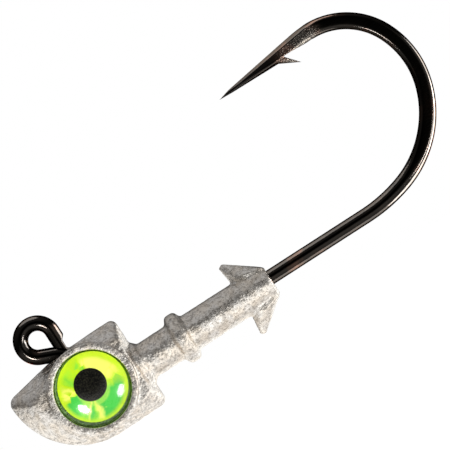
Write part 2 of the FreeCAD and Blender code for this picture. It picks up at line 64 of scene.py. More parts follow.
SPEAR_TOP = (27.55, 9.97)
SPEAR_FLOOR = (27.70, 9.57)
RIDGE_END = (35.6, 11.22)
FLOOR_END = (32.85, 9.48)
BARB_ROOT, BARB_CROTCH, BARB_TIP = (32.85, 9.47), (33.55, 9.85), (34.72, 8.49)
BARB_HALF_WIDTH = 0.36
FORGE_LEAD_IN, FORGE_LENGTH, BEND_END_LENGTH = 1.0, 11.0, 9.0
POINT_FALL, POINT_TAPER = 0.053, 0.06
TIP_LENGTH, TIP_RINGS = 1.2, 26
NOTCH_Z, NOTCH_RUN_OUT, NOTCH_X = 9.85, (34.0, 36.7), 33.6
RIDGE_LEAN, FLOOR_LEAN, FLANK_LEANS = 38, 28, (14, -18)
ROUND = 72
STATION = 0.09


# ---------------------------------------------------------------- small tools

def smooth_step(low, high, value):
    """An eased share from 0 at low to 1 at high."""
    share = np.clip((value - low) / (high - low), 0.0, 1.0)
    return share * share * (3.0 - 2.0 * share)


def soft_min(values, sharpness):
    """A smooth minimum of positive lengths; a larger sharpness keeps a crisper edge."""
    stack = np.array(values)
    least = stack.min(axis=0)
    return least * ((stack / least) ** -sharpness).sum(axis=0) ** (-1.0 / sharpness)


def new_object(name, verts, faces, sharp_angle=None):
    """A mesh object from points in millimetres."""
    mesh = bpy.data.meshes.new(name)
    mesh.from_pydata([tuple(float(c) * MM for c in v) for v in verts], [], faces)
    mesh.validate()
    obj = bpy.data.objects.new(name, mesh)
    bpy.context.scene.collection.objects.link(obj)
    finish_normals(obj, sharp_angle)
    return obj


def finish_normals(obj, sharp_angle=None):
    """Outward normals, smooth shading and, if asked for, sharp edges over an angle in degrees."""
    edit = bmesh.new()
    edit.from_mesh(obj.data)
    bmesh.ops.recalc_face_normals(edit, faces=edit.faces)
    edit.to_mesh(obj.data)
    edit.free()
    obj.data.shade_smooth()
    if sharp_angle is not None:
        obj.data.set_sharp_from_angle(angle=math.radians(sharp_angle))


def bake_modifiers(obj):
    """Replaces the object's mesh with the result of its modifiers."""
    graph = bpy.context.evaluated_depsgraph_get()
    mesh = bpy.data.meshes.new_from_object(obj.evaluated_get(graph))
    obj.modifiers.clear()
    obj.data = mesh


def ring_sides(count, around):
    """The four-sided faces between a number of rings, each with the same number of points."""
    faces = []
    for i in range(count - 1):
        for j in range(around):
            k = (j + 1) % around
            faces.append((i * around + j, i * around + k, (i + 1) * around + k, (i + 1) * around + j))
    return faces


def stitch_rings(rings):
    """Points and faces of a tube through rings of equal length, with a cap at each end."""
    count, around = len(rings), len(rings[0])
    faces = ring_sides(count, around)
    faces.append(tuple(range(around)))
    faces.append(tuple(reversed(range((count - 1) * around, count * around))))
    return [point for ring in rings for point in ring], faces


# ---------------------------------------------------------------- the hook

def wire_stations():
    """Places along the wire's centre line, as (x, z, heading, length so far, stretch name)."""
    steps = [
        ("end", None, RING_END_DROP),
        ("ring", RING_RADIUS, RING_EXIT),
        ("neck", None, NECK_RUN),
        ("neck", NECK_RADIUS, NECK_TURN),
        ("neck", None, CRANK_RUN),
        ("neck", CRANK_RADIUS, CRANK_TURN),
        ("shank", None, SHANK_RUN),
    ] + [("bend", radius, turn) for radius, turn in BEND_ARCS]
    place, heading, run = np.array([RING_RADIUS, -RING_END_DROP]), math.radians(90.0), 0.0
    stations = []
    for stretch, radius, size in steps:
        length = size if radius is None else radius * abs(math.radians(size))
        count = max(3, round(length / STATION))
        for i in range(count):
            share = i / count
            if radius is None:
                spot = place + share * size * np.array([math.cos(heading), math.sin(heading)])
                stations.append((*spot, heading, run + share * length, stretch))
            else:
                spot, way = along_arc(place, heading, radius, share * size)
                stations.append((*spot, way, run + share * length, stretch))
        if radius is None:
            place = place + size * np.array([math.cos(heading), math.sin(heading)])
        else:
            place, heading = along_arc(place, heading, radius, size)
        run += length
    return stations, place, run


def along_arc(place, heading, radius, turn):
    """The place and heading after turning by some degrees, anticlockwise if positive."""
    side, turned = math.copysign(1, turn), math.radians(turn)
    out = heading - side * math.pi / 2
    middle = place - radius * np.array([math.cos(out), math.sin(out)])
    spot = middle + radius * np.array([math.cos(out + turned), math.sin(out + turned)])
    return spot, heading + turned


def line_between(first, last, value):
    """The height at value on the straight line through two (x, z) points."""
    return first[1] + (last[1] - first[1]) * (value - first[0]) / (last[0] - first[0])


def grinding_planes():
    """The planes that the point is ground to, as (a point on it, outward normal), in millimetres."""
    planes = []

    def add(first, last, lean, up):
        """Two planes through a line in the hook's plane, leaning away from it on either side."""
        along = np.array([last[0] - first[0], 0.0, last[1] - first[1]])
        along /= np.linalg.norm(along)
        normal = np.array([-along[2], 0.0, along[0]]) * up
        for side in (-1, 1):
            tilted = normal * math.cos(lean) + np.array([0.0, side * math.sin(lean), 0.0])
            planes.append((np.array([first[0], 0.0, first[1]]), tilted))

    add(SPEAR_TOP, RIDGE_END, math.radians(RIDGE_LEAN), 1)
    add(POINT_TIP, SPEAR_TOP, math.radians(RIDGE_LEAN), 1)
    add(SPEAR_FLOOR, FLOOR_END, math.radians(FLOOR_LEAN), -1)
    add(POINT_TIP, SPEAR_FLOOR, math.radians(FLOOR_LEAN), -1)
    flank_z, far_flank_z = 9.70, 10.15
    for start, finish in (((26.45, 0.0), (28.6, 0.30)), ((28.0, 0.235), (35.4, 0.70))):
        for side in (-1, 1):
            along = np.array([finish[0] - start[0], side * (finish[1] - start[1]), 0.07])
            along /= np.linalg.norm(along)
            for lean in (math.radians(degrees) for degrees in FLANK_LEANS):
                up = np.array([0.0, 0.0, 1.0])
                out = np.cross(along, up) * -side
                out /= np.linalg.norm(out)
                normal = out * math.cos(lean) + up * math.sin(lean)
                height = flank_z if start[1] == 0.0 else far_flank_z - 0.3
                planes.append((np.array([start[0], side * start[1], height]), normal))
    return planes


def section_ring(centre, inward, radius, half_width, planes, sharpness, angles):
    """One ring of the wire: a round section with flattened sides, cut by planes."""
    across = np.array([0.0, 1.0, 0.0])
    rays = np.cos(angles)[:, None] * inward + np.sin(angles)[:, None] * across
    limits = [np.full(len(angles), radius)]
    limits.append(half_width / np.maximum(np.abs(np.sin(angles)), 1e-3))
    for spot, normal in planes:
        gap = float(np.dot(spot - centre, normal))
        slope = rays @ normal
        limits.append(np.where(slope > 1e-3, max(gap, 0.004) / np.maximum(slope, 1e-3), 50.0))
    reach = soft_min(limits, sharpness)
    return centre + rays * reach[:, None]


def wire_rings():
    """Rings of points along the whole wire, from the ring's cut end to the tip of the point."""
    stations, bend_end, bend_run = wire_stations()
    angles = np.linspace(0, 2 * math.pi, ROUND, endpoint=False)
    planes = grinding_planes()
    forge_start = next(station[3] for station in stations if station[4] == "bend")
    rings = []
    for x, z, heading, run, stretch in stations:
        inward = np.array([-math.sin(heading), 0.0, math.cos(heading)])
        forged = float(smooth_step(forge_start - FORGE_LEAD_IN, forge_start + FORGE_LENGTH, run))
        late = float(smooth_step(bend_run - BEND_END_LENGTH, bend_run, run))
        radius = WIRE_RADIUS + forged * (FORGED_RADIUS - WIRE_RADIUS)
        radius += late * (BEND_END_RADIUS - FORGED_RADIUS)
        half_width = ROUND_HALF_WIDTH + forged * (FORGED_HALF_WIDTH - ROUND_HALF_WIDTH)
        cuts = planes[:2] if z > POINT_SIDE_Z else []
        spot = np.array([x, 0.0, z])
        rings.append(section_ring(spot, inward, radius, half_width, cuts, CORNER, angles))
    shape_ring_end(rings, stations)
    rings += point_rings(bend_end, planes, angles)
    return rings


def shape_ring_end(rings, stations):
    """Shears the ring's cut end along the neck that it closes on, and bevels its outer corner."""
    for i, station in enumerate(stations):
        if station[4] != "end":
            return
        ring, share = rings[i], station[3] / RING_END_DROP
        hollow = WIRE_RADIUS - np.sqrt(np.maximum(WIRE_RADIUS**2 - ring[:, 1] ** 2, 0.0))
        floor = np.interp(ring[:, 0], *zip(*NECK_TOP)) - 0.25 * hollow + RING_END_GAP
        ring[:, 2] = floor * (1.0 - share)
        outer = BEVEL_INNER_X + np.maximum(0.0, ring[:, 2] - BEVEL_LOW_Z)
        ring[:, 0] = np.minimum(ring[:, 0], outer)


def point_rings(start, planes, angles):
    """Rings from the end of the bend to the tip, each across the hook's X."""
    tip_x = POINT_TIP[0]
    inward = np.array([0.0, 0.0, -1.0])
    rings = []
    closing = (1 - np.linspace(0, 1, TIP_RINGS)[1:-1]) ** 1.3
    spots = [*np.arange(start[0], tip_x + TIP_LENGTH, -STATION), *(tip_x + TIP_LENGTH * closing)]
    for x in spots:
        share = (start[0] - x) / (start[0] - tip_x)
        top = min(line_between(SPEAR_TOP, RIDGE_END, x), line_between(POINT_TIP, SPEAR_TOP, x))
        before_spear = x > SPEAR_FLOOR[0]
        first, last = (SPEAR_FLOOR, FLOOR_END) if before_spear else (POINT_TIP, SPEAR_FLOOR)
        floor = line_between(first, last, x)
        blank_z = start[1] - POINT_FALL * (start[0] - x)
        blank_radius = BEND_END_RADIUS - POINT_TAPER * share
        top, floor = min(top, blank_z + blank_radius), max(floor, blank_z - blank_radius)
        settle = float(smooth_step(0.0, 0.12, share))
        middle_z = blank_z + ((top + floor) / 2 - blank_z) * settle
        cuts = list(planes)
        notch = NOTCH_Z - 0.15 * float(smooth_step(*NOTCH_RUN_OUT, x)) - 2.0 * float(x < NOTCH_X)
        cuts.append((np.array([x, 0.0, notch]), np.array([0.0, 0.0, -1.0])))
        centre = np.array([x, 0.0, middle_z])
        corner = CORNER + 40 * float(smooth_step(0.0, 0.25, share))
        rings.append(
            section_ring(centre, inward, blank_radius, FORGED_HALF_WIDTH, cuts, corner, angles)
        )
    tip = np.array([tip_x, 0.0, POINT_TIP[1]])
    rings.append(tip + (rings[-1] - rings[-1].mean(axis=0)) * 0.1)
    return rings


def make_barb():
    """The barb: a sliver of the wire lifted away from the point, flat inside and round outside."""
    outer_root, inner_root, tip = (
        np.array([x, 0.0, z]) for x, z in (BARB_ROOT, BARB_CROTCH, BARB_TIP)
    )
    angles = np.linspace(0, 2 * math.pi, 40, endpoint=False)
    rings = []
    for share in np.linspace(-0.35, 1, 30):
        outer, inner = outer_root + (tip - outer_root) * share, inner_root + (tip - inner_root) * share
        middle, reach = (outer + inner) / 2, (outer - inner) / 2
        left = max(1 - share, 0.02)
        half_width = min(BARB_HALF_WIDTH, 0.40 * left**0.7)
        lift = np.where(np.cos(angles) > 0, np.cos(angles), -np.abs(np.cos(angles)) ** 0.45)
        rings.append(
            middle
            + lift[:, None] * reach
            + np.sin(angles)[:, None] * np.array([0.0, 1.0, 0.0]) * half_width
        )
    verts, faces = stitch_rings(rings)
    return new_object("barb_tool", verts, faces)


def seat_barb(hook):
    """Joins the barb to the wire as one closed mesh."""
    barb = make_barb()
    union = hook.modifiers.new("barb", "BOOLEAN")
    union.operation, union.solver, union.object = "UNION", "MANIFOLD", barb
    bake_modifiers(hook)
    bpy.data.objects.remove(barb)


def make_hook():
    """The whole hook, as one closed mesh."""
    verts, faces = stitch_rings(wire_rings())
    hook = new_object("hook_wire", verts, faces)
    seat_barb(hook)
    finish_normals(hook, 60)
    return hook


# ---------------------------------------------------------------- the casting

VOXEL = 0.09
PIT_DEPTH, SMALL_PIT_DEPTH, PIT_SHIFT = 0.05, 0.028, Vector((7.0, 3.0, 5.0))
SEAM_HEIGHT, SEAM_HALF_WIDTH = 0.03, 0.13
EYE_X, EYE_Z = 2.00, -6.52
CORE_TOP_Z, CORE_END_X, CORE_SPARE = -2.45, 21.25, 0.05


def tube_through_lead():
    """A core that fills the wire's tunnel, so that the casting is remeshed as solid lead."""
    angles = np.linspace(0, 2 * math.pi, 48, endpoint=False)
    rings = []
    for x, z, heading, _run, stretch in wire_stations()[0]:
        if stretch in ("neck", "shank") and z < CORE_TOP_Z and x < CORE_END_X:
            inward = np.array([-math.sin(heading), 0.0, math.cos(heading)])
            spot, radius = np.array([x, 0.0, z]), WIRE_RADIUS + CORE_SPARE
            rings.append(section_ring(spot, inward, radius, 5.0, [], 60, angles))
    return stitch_rings(rings)


def cast_relief(point, normal):
    """How far cast lead stands off its drawn surface at a point, in millimetres."""
    swell = 0.022 * noise.noise(point * 0.55) + 0.014 * noise.noise(point * 1.3)
    ripple = 0.006 * noise.noise(point * 4.1)
    pit_reach = noise.voronoi(point * 1.15)[0][0]
    pit = -PIT_DEPTH * max(0.0, 1.0 - pit_reach / 0.16) ** 0.7
    small_reach = noise.voronoi(point * 2.9 + PIT_SHIFT)[0][0]
    small_pit = -SMALL_PIT_DEPTH * max(0.0, 1.0 - small_reach / 0.22)
    on_seam = max(0.0, 1.0 - abs(point.y) / SEAM_HALF_WIDTH)
    parting = SEAM_HEIGHT * on_seam * (1.0 - abs(normal.y))
    return swell + ripple + pit + small_pit + parting


def make_head():
    """The casting: the frame's own solid, with rounded edges and the small marks of cast metal."""
    head = bpy.data.objects.new("head_lead", bpy.data.objects["head_casting"].data.copy())
    head.data.materials.clear()
    bpy.context.scene.collection.objects.link(head)
    verts, faces = tube_through_lead()
    core = new_object("core_tool", verts, faces)
    edit = bmesh.new()
    edit.from_mesh(head.data)
    edit.from_mesh(core.data)
    edit.to_mesh(head.data)
    edit.free()
    bpy.data.objects.remove(core)

    remesh = head.modifiers.new("voxels", "REMESH")
    remesh.mode, remesh.voxel_size, remesh.adaptivity = "VOXEL", VOXEL * MM, 0.0
    smooth = head.modifiers.new("smooth", "SMOOTH")
    smooth.factor, smooth.iterations = 0.5, 10
    bake_modifiers(head)

    mesh = head.data
    places, normals = np.empty(len(mesh.vertices) * 3), np.empty(len(mesh.vertices) * 3)
    mesh.vertices.foreach_get("co", places)
    mesh.vertex_normals.foreach_get("vector", normals)
    places, normals = places.reshape(-1, 3), normals.reshape(-1, 3)
    relief = [cast_relief(Vector(p / MM), Vector(n)) for p, n in zip(places, normals)]
    places += normals * np.array(relief)[:, None] * MM
    mesh.vertices.foreach_set("co", places.ravel())
    mesh.shade_smooth()
    mesh.update()
    return head


# ---------------------------------------------------------------- the eyes

SIDES = {"left": -1, "right": 1}
LENS_RADIUS, LENS_HEIGHT, LENS_CROWN = 3.50, 1.15, 8.76
LENS_SHOULDER = 3.22
LENS_SEAT = 2.95
LENS_LIFT = 0.015
LENS_ROUND = 128
SOCKET_RADIUS = 3.55


def make_lens(side):
    """A domed clear lens: a spherical crown, a soft shoulder and a short straight rim.

    Its flat back stands just off the foil, because two faces in one plane render in patches.
    """
    def crown(radius):
        """The dome's height over the foil at a radius."""
        return LENS_HEIGHT - LENS_CROWN + math.sqrt(LENS_CROWN**2 - radius**2)

    shoulder = LENS_SHOULDER
    profile = [(shoulder * i / 24, crown(shoulder * i / 24)) for i in range(1, 25)]
    for i in range(1, 9):
        t = i / 8
        weights = ((1 - t) ** 2, 2 * t * (1 - t), t**2)
        corners = ((shoulder, crown(shoulder)), (LENS_RADIUS, crown(LENS_RADIUS)), (LENS_RADIUS, 0.28))
        profile.append(tuple(sum(w * c[k] for w, c in zip(weights, corners)) for k in (0, 1)))
    profile += [(LENS_RADIUS, 0.09), (LENS_RADIUS - 0.02, 0.04), (LENS_RADIUS - 0.07, LENS_LIFT)]
    profile += [(2.4, LENS_LIFT), (1.2, LENS_LIFT)]
    around = LENS_ROUND
    verts = []
    for radius, height in profile:
        for j in range(around):
            angle = 2 * math.pi * j / around
            verts.append((
                EYE_X + radius * math.cos(angle),
                SIDES[side] * (LENS_SEAT + height),
                EYE_Z + radius * math.sin(angle),
            ))
    faces = ring_sides(len(profile), around)
    top, bottom = len(verts), len(verts) + 1
    verts += [
        (EYE_X, SIDES[side] * (LENS_SEAT + LENS_HEIGHT), EYE_Z),
        (EYE_X, SIDES[side] * (LENS_SEAT + LENS_LIFT), EYE_Z),
    ]
    last = (len(profile) - 1) * around
    for j in range(around):
        k = (j + 1) % around
        faces.append((j, k, top))
        faces.append((last + j, last + k, bottom))
    return new_object("lens_" + side, verts, faces, 35)


# ---------------------------------------------------------------- materials

class Nodes:
    """A small helper that adds shader nodes and links them."""

    def __init__(self, tree):
        """Starts with an empty node tree."""
        self.tree = tree
        tree.nodes.clear()

    def add(self, kind, **settings):
        """A new node of a kind, with some of its properties set."""
        node = self.tree.nodes.new(kind)
        for name, value in settings.items():
            setattr(node, name, value)
        return node

    def link(self, out, into):
        """Joins an output to an input."""
        self.tree.links.new(out, into)

    def put(self, socket, value):
        """Gives a socket another node's output or a plain value."""
        if isinstance(value, bpy.types.NodeSocket):
            self.link(value, socket)
        else:
            socket.default_value = value

    def math(self, operation, first, second=0.0, third=0.0, clamp=False):
        """The result of one math operation on outputs or plain numbers."""
        node = self.add("ShaderNodeMath", operation=operation, use_clamp=clamp)
        for socket, value in zip(node.inputs, (first, second, third)):
            self.put(socket, value)
        return node.outputs[0]

    def spread(self, value, low, high, to_low=0.0, to_high=1.0, smooth=True):
        """Maps a value from one range to another, eased at both ends."""
        node = self.add("ShaderNodeMapRange")
        node.interpolation_type = "SMOOTHSTEP" if smooth else "LINEAR"
        for socket, number in zip(node.inputs[:5], (value, low, high, to_low, to_high)):
            self.put(socket, number)
        return node.outputs[0]

    def mix(self, share, first, second, blend="MIX"):
        """Blends two colours; a share of 0 gives the first."""
        node = self.add("ShaderNodeMix", data_type="RGBA", blend_type=blend)
        self.put(node.inputs[0], share)
        self.put(node.inputs[6], first)
        self.put(node.inputs[7], second)
        return node.outputs[2]

    def ramp(self, value, stops):
        """Colours along a value: stops are (place, (red, green, blue))."""
        node = self.add("ShaderNodeValToRGB")
        elements = node.color_ramp.elements
        while len(elements) < len(stops):
            elements.new(0.5)
        for element, (place, colour) in zip(elements, stops):
            element.position = place
            element.color = (*colour, 1.0)
        self.link(value, node.inputs[0])
        return node.outputs[0]

    def millimetres(self):
        """The surface point in millimetres, in the frame."""
        point = self.add("ShaderNodeTexCoord").outputs["Object"]
        scale = self.add("ShaderNodeVectorMath", operation="SCALE")
        self.link(point, scale.inputs[0])
        scale.inputs["Scale"].default_value = 1000.0
        return scale.outputs[0]

    def noise(self, where, scale, detail=3.0, roughness=0.55):
        """Cloudy noise between 0 and 1; scale is in features for each millimetre."""
        node = self.add("ShaderNodeTexNoise")
        self.link(where, node.inputs["Vector"])
        node.inputs["Scale"].default_value = scale
        node.inputs["Detail"].default_value = detail
        node.inputs["Roughness"].default_value = roughness
        return node.outputs[0]

    def cells(self, where, scale, output="Distance"):
        """Irregular cells: the distance to the nearest cell's middle, or its random colour."""
        node = self.add("ShaderNodeTexVoronoi")
        self.link(where, node.inputs["Vector"])
        node.inputs["Scale"].default_value = scale
        return node.outputs[output]

    def parts(self, vector):
        """The X, Y and Z of a vector."""
        split = self.add("ShaderNodeSeparateXYZ")
        self.link(vector, split.inputs[0])
        return split.outputs

    def from_eye(self, where):
        """How far a point lies from the eyes' axis: along X, along Z and in all."""
        x, _y, z = self.parts(where)
        across = self.math("SUBTRACT", x, EYE_X)
        up = self.math("SUBTRACT", z, EYE_Z)
        square = self.math("MULTIPLY_ADD", up, up, self.math("MULTIPLY", across, across))
        return across, up, self.math("SQRT", square)

    def stretch(self, where, scale):
        """The point with each of its coordinates scaled."""
        node = self.add("ShaderNodeMapping")
        self.link(where, node.inputs["Vector"])
        node.inputs["Scale"].default_value = scale
        return node.outputs[0]

    def bump(self, height, strength, distance, normal=None):
        """A bump from a height between 0 and 1; distance is in millimetres."""
        node = self.add("ShaderNodeBump")
        node.inputs["Strength"].default_value = strength
        node.inputs["Distance"].default_value = distance * MM
        self.link(height, node.inputs["Height"])
        if normal is not None:
            self.link(normal, node.inputs["Normal"])
        return node.outputs[0]


def new_material(name):
    """An empty material and the helper for its nodes."""
    material = bpy.data.materials.new(name)
    material.use_nodes = True
    return material, Nodes(material.node_tree)


def surface(nodes, shader):
    """Makes a shader the material's surface."""
    output = nodes.add("ShaderNodeOutputMaterial")
    nodes.link(shader, output.inputs["Surface"])


def principled(nodes, colour, roughness, metallic, normal=None, **settings):
    """A principled shader; other sockets are named in settings with _ for a space."""
    shader = nodes.add("ShaderNodeBsdfPrincipled")
    nodes.put(shader.inputs["Base Color"], colour)
    nodes.put(shader.inputs["Roughness"], roughness)
    nodes.put(shader.inputs["Metallic"], metallic)
    if normal is not None:
        nodes.link(normal, shader.inputs["Normal"])
    for name, value in settings.items():
        shader.inputs[name.replace("_", " ")].default_value = value
    return shader.outputs[0]


def lead_material():
    """Bare cast lead: pale, pitted and grainy, with dull patches and warm oxide tints.

    The sockets behind the eyes are painted dark green: painted shade, tinted by green light through
    the edge of the dome.
    """
    material, nodes = new_material("cast_lead_bare")
    where = nodes.millimetres()
    broad = nodes.noise(where, 0.6, 3.0, 0.6)
    dents = nodes.noise(where, 1.7, 3.0, 0.55)
    mottle = nodes.noise(where, 3.2, 5.0, 0.72)
    grain = nodes.noise(where, 8.0, 3.0, 0.65)
    warmth = nodes.noise(where, 0.8, 4.0, 0.6)
    tone = nodes.ramp(mottle, [
        (0.36, (0.42, 0.40, 0.38)),
        (0.44, (0.72, 0.70, 0.675)),
        (0.51, (0.90, 0.885, 0.87)),
        (0.60, (0.98, 0.97, 0.96)),
    ])
    dull_share = nodes.spread(dents, 0.44, 0.60, 0.0, 0.55)
    tone = nodes.mix(dull_share, tone, (0.74, 0.72, 0.69, 1.0), "MULTIPLY")
    warm_share = nodes.spread(warmth, 0.40, 0.66, 0.15, 0.80)
    tone = nodes.mix(warm_share, tone, (1.0, 0.92, 0.82, 1.0), "MULTIPLY")
    speck = nodes.spread(grain, 0.56, 0.67, 0.0, 0.85)
    tone = nodes.mix(speck, tone, (0.20, 0.17, 0.145, 1.0))
    radius = nodes.from_eye(where)[2]
    # Painted shade: the lead in the sockets turns dark green, as shade tinted by green light through
    # the dome's edge.
    socket_green_shade = nodes.spread(radius, SOCKET_RADIUS - 0.05, SOCKET_RADIUS + 0.10, 1.0, 0.0)
    tone = nodes.mix(nodes.math("MULTIPLY", socket_green_shade, 0.9), tone, (0.14, 0.32, 0.06, 1.0))
    roughness = nodes.spread(broad, 0.3, 0.7, 0.12, 0.24, smooth=False)
    pits = nodes.spread(nodes.cells(where, 2.6), 0.03, 0.26)
    height = nodes.math("MULTIPLY_ADD", grain, 0.6, nodes.math("MULTIPLY", mottle, 0.55))
    normal = nodes.bump(pits, 0.45, 0.05)
    normal = nodes.bump(height, 1.0, 0.05, normal)
    normal = nodes.bump(dents, 1.0, 0.085, normal)
    surface(nodes, principled(nodes, tone, roughness, 0.92, normal))
    return material


def wire_material():
    """Black-nickel plate: near-black and glossy, browner in places, rough where the barb was cut."""
    material, nodes = new_material("black_nickel_plate")
    where = nodes.millimetres()
    cloud = nodes.noise(where, 0.35, 3.0, 0.6)
    tone = nodes.ramp(cloud, [
        (0.35, (0.0155, 0.0145, 0.0135)),
        (0.55, (0.0195, 0.0172, 0.0152)),
        (0.70, (0.0430, 0.0275, 0.0215)),
    ])
    x, _y, z = nodes.parts(where)
    before = nodes.spread(x, 32.3, 33.9)
    after = nodes.spread(x, 36.2, 38.6, 1.0, 0.0)
    high = nodes.spread(z, 8.2, 8.6)
    ridge = nodes.math("MULTIPLY_ADD", x, 0.12, 6.50)
    under = nodes.spread(nodes.math("SUBTRACT", ridge, z), 0.0, 0.16)
    along, upright = nodes.math("MULTIPLY", before, after), nodes.math("MULTIPLY", high, under)
    cut = nodes.math("MULTIPLY", along, upright)
    scuff = nodes.noise(where, 8.5, 4.0, 0.7)
    scuff_share = nodes.math("MULTIPLY", cut, nodes.spread(scuff, 0.52, 0.66))
    tone = nodes.mix(scuff_share, tone, (0.11, 0.10, 0.085, 1.0))
    grain = nodes.noise(nodes.stretch(where, (3.0, 12.0, 12.0)), 1.0, 3.0, 0.6)
    roughness = nodes.spread(grain, 0.3, 0.7, 0.07, 0.13, smooth=False)
    roughness = nodes.math("MULTIPLY_ADD", cut, 0.22, roughness)
    normal = nodes.bump(grain, 0.25, 0.02)
    height = nodes.math("MULTIPLY", cut, scuff)
    normal = nodes.bump(height, 0.8, 0.07, normal)
    edge = (0.30, 0.27, 0.25, 1.0)
    surface(nodes, principled(nodes, tone, roughness, 1.0, normal, Specular_Tint=edge))
    return material


def lens_material():
    """Clear cast resin: see-through, with a glossy skin on its outside only."""
    material, nodes = new_material("clear_resin")
    clear = nodes.add("ShaderNodeBsdfTransparent")
    clear.inputs["Color"].default_value = (0.97, 0.985, 0.96, 1.0)
    gloss = nodes.add("ShaderNodeBsdfGlossy")
    gloss.inputs["Roughness"].default_value = 0.11
    fresnel = nodes.add("ShaderNodeFresnel")
    fresnel.inputs["IOR"].default_value = 1.5
    skin = nodes.math("SUBTRACT", 1.0, nodes.add("ShaderNodeNewGeometry").outputs["Backfacing"])
    blend = nodes.add("ShaderNodeMixShader")
    nodes.link(nodes.math("MULTIPLY", fresnel.outputs[0], skin), blend.inputs[0])
    nodes.link(clear.outputs[0], blend.inputs[1])
    nodes.link(gloss.outputs[0], blend.inputs[2])
    surface(nodes, blend.outputs[0])
    return material


def iris_material():
    """Crackled holographic foil in lime, yellow and green, with a painted glow."""
    material, nodes = new_material("lime_holographic_foil")
    where = nodes.millimetres()
    across, up, radius = nodes.from_eye(where)
    angle = nodes.math("ARCTAN2", up, across)
    turn = nodes.math("MULTIPLY_ADD", angle, 1 / (2 * math.pi), 0.5)
    pick = nodes.add("ShaderNodeSeparateColor")
    nodes.link(nodes.cells(where, 0.95, "Color"), pick.inputs[0])
    jitter = nodes.math("MULTIPLY_ADD", pick.outputs[0], 0.034, -0.017)
    ripple = nodes.math("MULTIPLY_ADD", nodes.noise(where, 0.8, 2.0), 0.10, -0.05)
    turn = nodes.math("ADD", turn, nodes.math("ADD", jitter, ripple))
    turn = nodes.math("FRACT", nodes.math("ADD", turn, 1.0))
    lime, yellow, green = (0.58, 0.84, 0.0), (1.0, 0.98, 0.18), (0.045, 0.60, 0.05)
    leaf = (0.26, 0.74, 0.035)
    tone = nodes.ramp(turn, [
        (0.00, green), (0.05, green), (0.09, leaf), (0.13, leaf), (0.15, yellow), (0.17, green),
        (0.19, leaf), (0.21, yellow), (0.24, green), (0.43, green), (0.50, lime), (0.55, yellow),
        (0.71, yellow), (0.735, lime), (0.755, leaf), (0.79, lime), (0.86, leaf), (0.92, lime),
        (0.95, yellow), (0.975, lime), (0.99, green),
    ])
    rim_share = nodes.spread(radius, 2.62, 3.15, 0.0, 0.95)
    tone = nodes.mix(rim_share, tone, (0.60, 0.84, 0.0, 1.0))
    halo_share = nodes.spread(radius, 1.48, 1.72, 0.45, 0.0)
    tone = nodes.mix(halo_share, tone, (0.62, 0.90, 0.10, 1.0))
    bright = nodes.math("MULTIPLY_ADD", pick.outputs[1], 0.18, 0.90)
    tone = nodes.mix(1.0, tone, bright, "MULTIPLY")
    shader = nodes.add("ShaderNodeBsdfPrincipled")
    nodes.link(tone, shader.inputs["Base Color"])
    # Painted glow: the foil also gives off its own colour, so it shines brighter than the lamps make
    # it.
    nodes.link(tone, shader.inputs["Emission Color"])
    shader.inputs["Emission Strength"].default_value = 0.38
    shader.inputs["Roughness"].default_value = 0.35
    shader.inputs["Metallic"].default_value = 0.2
    surface(nodes, shader.outputs[0])
    return material


def pupil_material():
    """Matte black ink with a fine tooth."""
    material, nodes = new_material("matte_black_print")
    where = nodes.millimetres()
    tooth = nodes.noise(where, 7.5, 3.0, 0.7)
    tone = nodes.ramp(tooth, [(0.46, (0.0006, 0.0006, 0.0006)), (0.64, (0.030, 0.028, 0.020))])
    normal = nodes.bump(tooth, 0.3, 0.01)
    surface(nodes, principled(nodes, tone, 0.8, 0.0, normal, Specular_IOR_Level=0.15))
    return material


def pad_shade_material():
    """Adhesive with a foamy grain, painted dark green: painted shade, tinted by green light, in the
    gap round the lens.
    """
    material, nodes = new_material("adhesive_green_shade")
    where = nodes.millimetres()
    foam = nodes.cells(where, 9.0)
    # Painted shade: this dark green stands for the shadowed gap round the lens, tinted by green light
    # through the lens edge.
    tone = nodes.ramp(foam, [(0.0, (0.05, 0.09, 0.02)), (0.6, (0.13, 0.20, 0.05))])
    surface(nodes, principled(nodes, tone, 0.7, 0.0, nodes.bump(foam, 0.4, 0.02)))
    return material


def paint(obj, material):
    """Gives an object one material on every face."""
    obj.data.materials.clear()
    obj.data.materials.append(material)


def paint_node(name, material):
    """Changes the material of a CAD node that stays."""
    for slot in bpy.data.objects[name].material_slots:
        slot.material = material


# ---------------------------------------------------------------- studio

VIEW_TILT = 32.8
VIEW_CENTRE = (20.50, -0.43)
VIEW_WIDTH = 41.94
CAMERA_DISTANCE = 450.0
SENSOR = 36.0
FLOOR_Z, FLOOR_HALF = -32.0, 900.0
STUDIO_STRENGTH = 1.42
FRONT_DIM_FULL, FRONT_DIM_NONE, FRONT_SHARE = -0.80, 0.0, 0.76
DARK_RISE, DARK_INNER, DARK_OUTER = math.radians(8), math.radians(8), math.radians(26)
DARK_SHARE = 0.03


# soft panels, as (name, way from the target with Y for the right side, width, height, share, roll)
EYE_PANELS = (
    ("key", (-0.415, 0.866, -0.28), 62, 110, 1.0, -32),
    ("fill", (0.433, 0.829, -0.353), 52, 104, 0.7, 44),
)
EYE_DISTANCE, WIRE_DISTANCE = 400, 300
RADIANCES = {"dome": 42, "disc": 14, "wire": 100}
FLANK_TARGET, FLANK_WAY, FLANK_RADIANCE = (20.0, 0.0, 0.0), (0.756, 0.44, -0.487), 50
BEND_MIDDLE = (26.0, 0.0, 1.0)
OVERHEAD_RADIANCE = 8
UNDERSIDES = ((0.0, -1.0, 8), (0.5, -0.87, 55), (0.85, -0.53, 80), (0.99, -0.12, 42))


